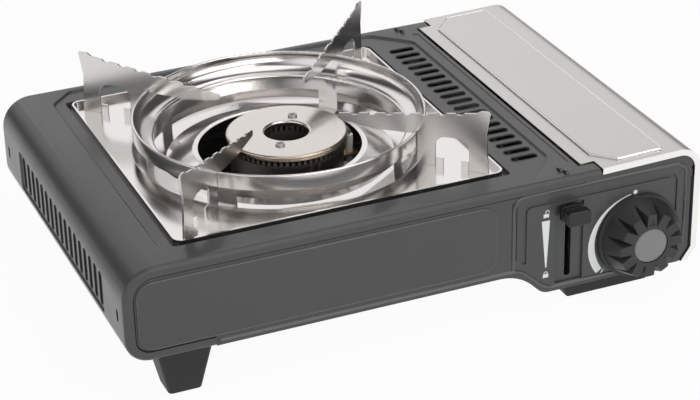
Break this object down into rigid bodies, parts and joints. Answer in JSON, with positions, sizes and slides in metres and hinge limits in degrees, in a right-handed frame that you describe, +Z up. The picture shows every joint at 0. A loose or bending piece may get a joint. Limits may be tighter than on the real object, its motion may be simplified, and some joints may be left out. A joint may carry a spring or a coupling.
{
  "type": "camping gas stove",
  "caption": "Portable gas stove with a polished drip tray, wind ring and pan supports over a round burner, a knob, a lever and a hinged lid over the cartridge bay.",
  "frame": {"origin": "on the table, under the middle of the whole stove's outline", "axes": "+X to the cartridge bay on the right, +Y to the back, +Z up; knob and lever face -Y"},
  "size_m": [0.344, 0.254, 0.1176],
  "materials": {
    "paint": "gloss",
    "lid_steel": "satin",
    "polished_steel": "polished",
    "plated_steel": "satin",
    "cast_metal": "satin",
    "heat_metal": "satin",
    "cap_metal": "satin",
    "brass": "satin",
    "black_plastic": "satin",
    "grey_plastic": "satin",
    "ceramic": "glazed",
    "seal_rubber": "matt",
    "lead_sheath": "matt"
  },
  "bodies": {
    "stove_body": {"top_shell": "paint", "front_panel": "paint", "rear_panel": "paint", "base_plate": "plated_steel", "bay_floor": "plated_steel", "partition_wall": "plated_steel", "hinge_brackets": "plated_steel", "hinge_pins": "plated_steel", "burner_stand": "plated_steel", "burner_clip": "plated_steel", "electrode_holder": "plated_steel", "spark_electrode": "plated_steel", "cartridge_guide": "plated_steel", "regulator_cover": "plated_steel", "regulator_screws": "plated_steel", "lever_guide": "plated_steel", "bar_guides": "plated_steel", "foot_screws": "plated_steel", "burner_cap_screws": "plated_steel", "mixing_tube": "plated_steel", "burner_body": "cast_metal", "regulator_body": "cast_metal", "heat_plate": "heat_metal", "burner_cap": "cap_metal", "jet_nozzle": "brass", "gas_pipe": "brass", "foot_front_left": "black_plastic", "foot_rear_left": "black_plastic", "foot_front_right": "black_plastic", "foot_rear_right": "black_plastic", "piezo_igniter": "black_plastic", "electrode_ceramic": "ceramic", "cartridge_seal": "seal_rubber", "igniter_lead": "lead_sheath"},
    "knob": {"control_knob": "black_plastic", "knob_cap": "grey_plastic", "valve_spindle": "plated_steel"},
    "lever": {"lever_handle": "black_plastic", "lever_carriage": "black_plastic"},
    "pusher": {"pull_bar": "plated_steel", "cartridge_pusher": "plated_steel"},
    "lid": {"cartridge_lid": "lid_steel"},
    "tray": {"drip_tray": "polished_steel", "wind_ring": "polished_steel", "pan_support_front_left": "polished_steel", "pan_support_front_right": "polished_steel", "pan_support_rear_left": "polished_steel", "pan_support_rear_right": "polished_steel"}
  },
  "joints": [
    {"name": "knob_turn", "type": "hinge", "parent": "stove_body", "child": "knob", "pos_m": [0.1325, -0.111, 0.0372], "axis": [0, -1, 0], "range_deg": [0, 130]},
    {"name": "lever_slide", "type": "slide", "parent": "stove_body", "child": "lever", "axis": [0, 0, -1], "range_m": [0, 0.033]},
    {"name": "pusher_slide", "type": "slide", "parent": "stove_body", "child": "pusher", "axis": [0, -1, 0], "range_m": [0, 0.008]},
    {"name": "lid_hinge", "type": "hinge", "parent": "stove_body", "child": "lid", "pos_m": [0.103, 0.008, 0.0803], "axis": [0, -1, 0], "range_deg": [0, 95]},
    {"name": "tray_lift", "type": "slide", "parent": "stove_body", "child": "tray", "axis": [0, 0, 1], "range_m": [0, 0.06]}
  ],
  "couplings": [
    {"joint": "pusher_slide", "follows": "lever_slide", "ratio": 0.2424}
  ]
}
